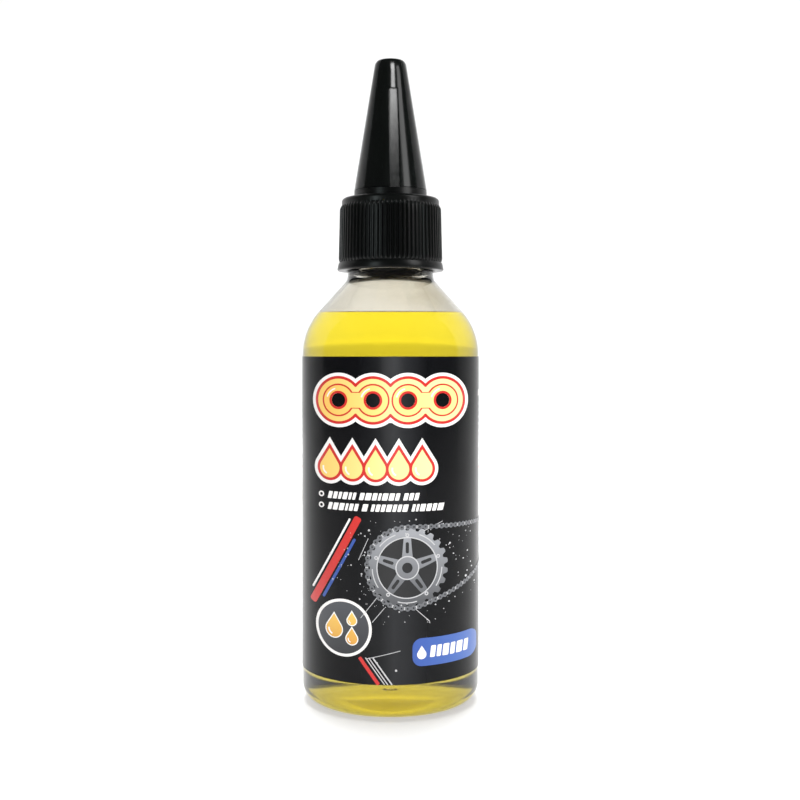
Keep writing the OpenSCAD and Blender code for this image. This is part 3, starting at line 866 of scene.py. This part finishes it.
        a, d = rng.uniform(0, 2 * math.pi), rng.uniform(9.8, 17.0)
        x, z = wx + d * math.cos(a), wz + d * 0.75 * math.sin(a)
        if abs(x) < 18.8 and 20.6 < z < 43.2 and math.hypot(x - rx, z - rz) > 7:
            dots.append(circle(x, z, rng.choice([0.06, 0.08, 0.1, 0.12, 0.17]), 8))
    for x, z, size in (
        (-4.6, 40.9, 0.24),
        (-6.2, 31.5, 0.2),
        (12.9, 37.6, 0.22),
        (16.6, 29.8, 0.26),
        (-2.9, 12.6, 0.2),
        (1.2, 11.0, 0.24),
        (7.9, 21.6, 0.16),
    ):
        dots.append(circle(x, z, size, 12))
    printed("spray", dots, INK_SILVER, 1)
    for side, x0, x1, top in (("left", -46.0, -28.0, 70.0), ("right", 27.5, 45.5, 70.0)):
        printed(f"{side}_heading", blocks(rng, x0, x0 + 10.5, top, 1.5, 0.2), INK_WHITE, 1, True)
        loops = []
        for row in range(9):
            end = x1 - (rng.uniform(0.5, 9.0) if row % 4 == 3 else rng.uniform(0.0, 1.5))
            loops += blocks(rng, x0, end, top - 2.6 - 1.5 * row, 0.72, 0.0, 0.35, 0.75, 0.2)
        printed(f"{side}_small_print", loops, INK_SILVER, 1, True)
        printed(f"{side}_rule", [bar_outline((x0 + x1) / 2, top - 17.0, x1 - x0, 0.16, 0.06)], INK_RED, 1, True)
    for k in range(3):
        x, z = -43.0 + 6.2 * k, 46.5
        printed(f"sign_{k}", [circle(x, z, 2.4), circle(x, z, 2.12)], INK_WHITE, 1, True)
        drop = [drop_outline(x, z - 0.35, 0.5 + 0.25 * k)]
        printed(f"sign_drop_{k}", drop, (INK_AMBER, INK_SILVER, INK_CREAM)[k], 1, True)
    streaks = []
    for x, z, length, a in (
        (-4.4, 24.6, 6.5, 52),
        (-2.6, 22.8, 4.2, 50),
        (6.6, 22.9, 5.0, -43),
        (9.2, 41.6, 4.6, 24),
        (-5.8, 36.8, 5.2, 66),
        (-1.5, 14.3, 7.5, 14),
    ):
        streaks.append(turn(bar_outline(x, z, length, 0.13, 0.06), x, z, a))
    printed("streaks", streaks, INK_SILVER, 1.3)
    for k, (dx, w) in enumerate([(0.0, 0.75), (1.3, 0.22), (2.0, 0.22), (2.9, 0.3)]):
        strip = bar_outline(-4.6 + dx, 10.8, 7.0, w, w * 0.3)
        mat = INK_RED if k == 0 else INK_SILVER
        printed(f"foot_line_{k}", [turn(strip, -4.6 + dx, 10.8, -54)], mat, 0.6)


# ---------------------------------------------------------------- closure, liner and overcap

RIB_STEPS = 8


def rib_shape(a):
    """Share of the rib's height at angle a: a round-shouldered rib and a round-bottomed gap."""
    return 0.5 + 0.5 * math.tanh(2.2 * math.cos(a * RIB_N)) / math.tanh(2.2)


def closure_profile():
    """Rows of (r, z, kind, share). kind is rib where the ribs stand on the row, and thread in the bore."""
    rows = [(CAP_BORE_R, CAP_Z + 0.3, "", 0), (CAP_BORE_R + 0.3, CAP_Z, "", 0)]
    rows += [(p[0], p[1], "", 0) for p in arc(RIB_R + 0.25 - 0.3, CAP_Z + 0.3, 0.3, -90, 0, 22)]
    rows += [(RIB_R + 0.12, RIB_Z - 0.7, "", 0), (RIB_R, RIB_Z - 0.15, "", 0), (RIB_R - 0.08, RIB_Z, "", 0)]
    rib_top = CROWN_Z - 1.0
    for t, share in ((0.0, 0.0), (0.02, 0.45), (0.05, 0.85), (0.09, 1.0)):
        rows.append((None, RIB_Z + t * (rib_top - RIB_Z), "rib", share))
    for i in range(1, 9):
        rows.append((None, RIB_Z + (0.09 + 0.91 * i / 8) * (rib_top - RIB_Z), "rib", 1.0))
    for t in (0.25, 0.5, 0.75, 0.95):
        rows.append((None, rib_top + t * 1.0, "rib", 1.0 - t ** 1.4))
    rows += [(CROWN_R, CROWN_Z + 0.1, "", 0), (CROWN_R, TOP_Z - 0.8, "", 0)]
    rows += [(p[0], p[1], "", 0) for p in arc(CROWN_R - 0.8, TOP_Z - 0.8, 0.8, 0, 90, 11)[1:]]
    rows += [(SEAT_R + 0.25, TOP_Z, "", 0), (SEAT_R + 0.06, TOP_Z + 0.06, "", 0), (SEAT_R, TOP_Z + 0.25, "", 0)]
    rows += [(SEAT_R, SEAT_Z - 0.2, "", 0), (SEAT_R - 0.05, SEAT_Z - 0.06, "", 0), (SEAT_R - 0.2, SEAT_Z, "", 0)]
    rows += [(SPIGOT_R + 0.1, SEAT_Z, "", 0), (SPIGOT_R, SEAT_Z + 0.1, "", 0), (SPIGOT_R, SPIGOT_Z - 0.4, "", 0)]
    rows += [(SPIGOT_R - 0.12, SPIGOT_Z - 0.1, "", 0), (SPIGOT_R - 0.4, SPIGOT_Z, "", 0)]
    rows += [(NOZZLE_R + 0.4, SPIGOT_Z, "", 0), (NOZZLE_R + 0.1, SPIGOT_Z + 0.12, "", 0)]
    for i in range(1, 7):
        t = i / 6
        rows.append((NOZZLE_R + (TIP_R - NOZZLE_R) * t, SPIGOT_Z + (TIP_Z - 0.3 - SPIGOT_Z) * t, "", 0))
    rows += [(TIP_R - 0.09, TIP_Z - 0.09, "", 0), (TIP_R - 0.3, TIP_Z, "", 0), (DRIP_R + 0.1, TIP_Z, "", 0)]
    rows += [(DRIP_R, TIP_Z - 0.1, "", 0), (DRIP_R, TIP_Z - 4.0, "", 0)]
    hollow_r = SPIGOT_R - NOZZLE_WALL
    rows += [(NOZZLE_R - NOZZLE_WALL, SPIGOT_Z - NOZZLE_WALL, "", 0), (hollow_r, SPIGOT_Z - 2 * NOZZLE_WALL, "", 0)]
    rows += [(hollow_r, DECK_Z, "", 0), (CAP_BORE_R - 0.1, DECK_Z, "", 0)]
    z = DECK_Z - 0.1
    rows.append((CAP_BORE_R, z, "thread", 0))
    while z > CAP_Z + 1.0:
        z -= 0.35
        rows.append((CAP_BORE_R, z, "thread", 0))
    return rows


def make_closure():
    rows = closure_profile()
    n = RIB_N * RIB_STEPS
    verts, faces = [], []
    for r, z, kind, share in rows:
        for k in range(n):
            a = 2 * math.pi * k / n
            if kind == "rib":
                base = SKIRT_R + (CROWN_R - SKIRT_R) * (z - RIB_Z) / (CROWN_Z - RIB_Z)
                rr = base + RIB_H * share * rib_shape(a)
            elif kind == "thread":
                rr = r - THREAD_DEPTH * thread_height(z, a, THREAD_Z - PITCH / 2, TURNS)
            else:
                rr = r
            verts.append((rr * math.cos(a), rr * math.sin(a), z))
    m = len(rows)
    for i in range(m):
        j = (i + 1) % m
        for k in range(n):
            q = (k + 1) % n
            faces.append((i * n + k, i * n + q, j * n + q, j * n + k))
    obj = mesh_object("nozzle_cap_shell", verts, faces, MAT_CAP, 38)
    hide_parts("nozzle_cap")
    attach(obj, "closure")


FIT = 0.08  # clearance of the overcap on the spigot and of its pin in the drip hole


def over_r(z):
    return SEAT_R - (z - SEAT_Z) * math.tan(TAPER)


def over_angles(r):
    """Directions of the overcap's columns at radius r, packed closely at the edges of its two flutes."""
    angles = []
    marks = [0.0, 0.3, 0.6, 0.9, 1.1, 1.16, 1.2, 1.24, 1.3, 1.45, 1.9]
    marks = [-x for x in reversed(marks[1:])] + marks
    for side in (0, 1):
        centre = math.radians(-90 + FLUTE_TURN + 180 * side)
        for x in marks:
            angles.append((centre + math.asin(x / r), x))
        start = math.asin(marks[-1] / r)
        end = math.pi - start
        for i in range(1, 60):
            angles.append((centre + start + (end - start) * i / 60, None))
    return angles


def make_overcap():
    top_edge = OVER_TOP_Z - FLUTE_TOP
    zs = [SEAT_Z + 0.06, SEAT_Z + 0.2]
    zs += [SEAT_Z + 0.2 + (top_edge - 0.6 - SEAT_Z - 0.2) * i / 10 for i in range(1, 11)]
    zs += [top_edge - 0.25, top_edge - 0.1, top_edge - 0.03, top_edge + 0.03, top_edge + 0.1, top_edge + 0.3]
    zs += [top_edge + 0.3 + (OVER_TOP_Z - 0.9 - top_edge - 0.3) * i / 3 for i in range(1, 4)]
    outer = [(over_r(SEAT_Z) - 0.2, SEAT_Z, 1.0), (over_r(SEAT_Z) - 0.06, SEAT_Z + 0.02, 1.0)]
    outer += [(over_r(z), z, 1.0) for z in zs]
    crown = arc(OVER_TOP_R - 0.9, OVER_TOP_Z - 0.9, 0.9, math.degrees(TAPER), 90, 9)
    outer += [(r, z, 0.0) for r, z in crown[1:]]
    inner = [(over_r(CEILING_Z) - OVER_WALL, CEILING_Z)]
    inner += [(over_r(SPIGOT_Z + 1.5) - OVER_WALL, SPIGOT_Z + 1.5), (SPIGOT_R + FIT, SPIGOT_Z + 0.5)]
    inner += [(SPIGOT_R + FIT, SEAT_Z + 0.1), (SPIGOT_R + FIT + 0.1, SEAT_Z)]
    verts, faces, rings = [], [], []
    for r, z, fluted in outer:
        ring = []
        for a, x in over_angles(max(r, 2.5)):
            rr = r
            if fluted and x is not None:
                across = smoothstep((FLUTE_W / 2 + 0.04 - abs(x)) / 0.08)
                upward = smoothstep((top_edge + 0.03 - z) / 0.06)
                chord = r - math.sqrt(max(r * r - x * x, 0.0))
                depth = FLUTE_DEPTH - chord * 0.4
                rr = r - across * upward * max(depth, 0.0)
            ring.append(len(verts))
            verts.append((rr * math.cos(a), rr * math.sin(a), z))
        rings.append(ring)
    rings.append([len(verts)])
    verts.append((0.0, 0.0, OVER_TOP_Z))
    hole = []
    pin_r, pin_z = DRIP_R - FIT, CEILING_Z - 3.4
    pin = [(0.0, pin_z), (pin_r - 0.15, pin_z), (pin_r, pin_z + 0.15)]
    pin += [(pin_r, CEILING_Z - 0.15), (pin_r + 0.15, CEILING_Z)]
    for r, z in pin + inner:
        if r < 1e-6:
            hole.append([len(verts)])
            verts.append((0.0, 0.0, z))
            continue
        ring = []
        for a, _ in over_angles(7.0):
            ring.append(len(verts))
            verts.append((r * math.cos(a), r * math.sin(a), z))
        hole.append(ring)

    for low, high in zip(rings, rings[1:]):
        join_rings(faces, low, high)
    for low, high in zip(hole, hole[1:]):
        join_rings(faces, low, high)
    join_rings(faces, hole[-1], rings[0])
    obj = mesh_object("overcap_shell", verts, faces, MAT_CONE, 30)
    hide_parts("overcap")
    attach(obj, "overcap")


def make_liner():
    r0, r1, e = 6.3, CAP_BORE_R - 0.15, 0.12
    profile = [(r0, RIM_Z + e), (r0 + e, RIM_Z), (r1 - e, RIM_Z), (r1, RIM_Z + e)]
    profile += [(r1, DECK_Z - e), (r1 - e, DECK_Z), (r0 + e, DECK_Z), (r0, DECK_Z - e)]
    obj = turned("sealing_ring", profile, 128, MAT_FOAM)
    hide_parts("liner")
    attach(obj, "liner_lift")


make_bottle()
make_oil()
already = set(bpy.data.objects)
make_film()
make_print()
make_closure()
make_overcap()
make_liner()
opaque = [o for o in bpy.data.objects if o not in already]


# ---------------------------------------------------------------- stage, light and camera


def light_table():
    """A pale matt table whose surface glows a little, under and round the bottle: painted light, not a lamp, that
    lifts the shade there.
    """
    mat, tree, bsdf, _ = material("stage_white")
    bsdf.inputs["Base Color"].default_value = (0.9, 0.9, 0.9, 1)
    bsdf.inputs["Roughness"].default_value = 0.7
    length = tree.nodes.new("ShaderNodeVectorMath")
    length.operation = "LENGTH"
    tree.links.new(object_coords(tree), length.inputs[0])
    greys = ((0.05, 0.5), (0.5, 0.35), (0.8, 0.5), (0.95, 0))
    glow = ramp(tree, length.outputs["Value"], [(place, (grey, grey, grey)) for place, grey in greys])
    # Painted light: the floor glows, brightest under and round the bottle, fading out where the floor bends up into
    # the wall
    tree.links.new(glow, bsdf.inputs["Emission Color"])
    bsdf.inputs["Emission Strength"].default_value = 1.0
    mat.cycles.emission_sampling = "NONE"
    return mat


# The floor lies a hair under the foot, so that the two faces don't coincide
FLOOR_Z = -0.00005


def sweep_stage():
    """A pale round floor that curves up into a wall behind the bottle."""
    wall_r, bend, top, front_r = 1.3, 0.5, 1.7, 0.8
    profile = [(0.0, 0.0), (0.3, 0.0), (wall_r - bend, 0.0)]
    for a in range(6, 91, 6):
        t = math.radians(a)
        profile.append((wall_r - bend + bend * math.sin(t), bend - bend * math.cos(t)))
    profile += [(wall_r, top)]
    verts, faces = [], []
    steps = 60
    for i in range(steps + 1):
        a = math.radians(6 + 168 * i / steps)
        verts += [(r * math.cos(a), r * math.sin(a), z + FLOOR_Z) for r, z in profile]
    m = len(profile)
    for i in range(steps):
        for j in range(m - 1):
            a, b = i * m + j, (i + 1) * m + j
            faces.append((a, a + 1, b + 1, b) if j else (a, a + 1, b + 1))
    for i in range(steps):
        a = math.radians(174 + 192 * i / steps)
        b = math.radians(174 + 192 * (i + 1) / steps)
        n = len(verts)
        verts += [(0, 0, FLOOR_Z)] + [(front_r * math.cos(t), front_r * math.sin(t), FLOOR_Z) for t in (a, b)]
        faces.append((n, n + 1, n + 2))
    mesh = bpy.data.meshes.new("stage")
    mesh.from_pydata(verts, [], faces)
    mesh.validate()
    for p in mesh.polygons:
        p.use_smooth = True
    mesh.materials.append(light_table())
    obj = bpy.data.objects.new("stage", mesh)
    bpy.context.collection.objects.link(obj)


def softbox(name, place, target, size, power, colour=(1, 1, 1)):
    lamp = bpy.data.lights.new(name, "AREA")
    lamp.shape = "RECTANGLE"
    lamp.size, lamp.size_y = size
    lamp.energy = power
    lamp.color = colour
    obj = bpy.data.objects.new(name, lamp)
    obj.location = place
    bpy.context.collection.objects.link(obj)
    obj.visible_transmission = False
    obj.rotation_mode = "QUATERNION"
    obj.rotation_quaternion = (Vector(target) - Vector(place)).to_track_quat("-Z", "Y")
    return obj


sweep_stage()
world = bpy.data.worlds.new("studio")
world.use_nodes = True
tree = world.node_tree
path = tree.nodes.new("ShaderNodeLightPath")
# The world is pale to the eye and through clear pieces, and dim as a light
seen = combined(tree, "MAXIMUM", path.outputs["Is Camera Ray"], path.outputs["Is Transmission Ray"])
tree.links.new(spread(tree, seen, 0.10, 1.1), tree.nodes["Background"].inputs["Strength"])
tree.nodes["Background"].inputs["Color"].default_value = (1, 1, 1, 1)
bpy.context.scene.world = world
back = softbox("back_wash", (0, 0.6, 1.6), (0, 1.3, 0.45), (0.9, 0.6), 13)
floor = softbox("floor_wash", (0, 0.20, 1.0), (0, 0.10, 0.0), (0.6, 0.7), 9)
back.visible_glossy = floor.visible_glossy = False
# The front lights model the black and the printed pieces. The clear bottle is lit through the backdrop alone.
lit = {name: bpy.data.collections.new(name) for name in ("cone_lit", "closure_lit", "label_lit")}
for piece in opaque:
    start = piece.name.split("_")[0]
    lit[{"overcap": "cone_lit", "nozzle": "closure_lit"}.get(start, "label_lit")].objects.link(piece)
everything = bpy.data.collections.new("front_lit")
cone_and_label = bpy.data.collections.new("upper_lit")
for name, group in lit.items():
    for piece in group.objects:
        everything.objects.link(piece)
        if name != "closure_lit":
            cone_and_label.objects.link(piece)
for lamp, pieces in (
    (softbox("strip_right", (0.50, -0.33, 0.42), (0, 0, 0.11), (0.24, 0.36), 1.3), everything),
    (softbox("strip_high", (0.15, -0.50, 0.58), (0, 0, 0.14), (0.24, 0.26), 4.8), cone_and_label),
    (
        softbox("strip_left", (-0.36, -0.52, 0.26), (0, 0, 0.11), (0.14, 0.30), 0.5, (0.86, 1, 1)),
        lit["closure_lit"],
    ),
    (softbox("front_strip", (0.01, -0.7, 0.22), (0, 0, 0.06), (0.30, 0.44), 1.1), lit["label_lit"]),
):
    lamp.light_linking.receiver_collection = pieces

camera_data = bpy.data.cameras.new("camera")
camera_data.lens = 53.9
camera_data.sensor_width = 36.0
camera_data.shift_x = 0.0119
camera_data.shift_y = -0.055
camera_data.clip_start = 0.01
camera = bpy.data.objects.new("camera", camera_data)
camera.location = (0, -0.276, 0.0782)
camera.rotation_euler = (math.radians(90), 0, 0)
bpy.context.collection.objects.link(camera)
scene = bpy.context.scene
scene.camera = camera
scene.view_settings.view_transform = "Standard"
scene.view_settings.look = "None"
# Light crosses many clear surfaces before it reaches the film's inner side
scene.cycles.max_bounces = 32
scene.cycles.transmission_bounces = 32
scene.cycles.diffuse_bounces = 6
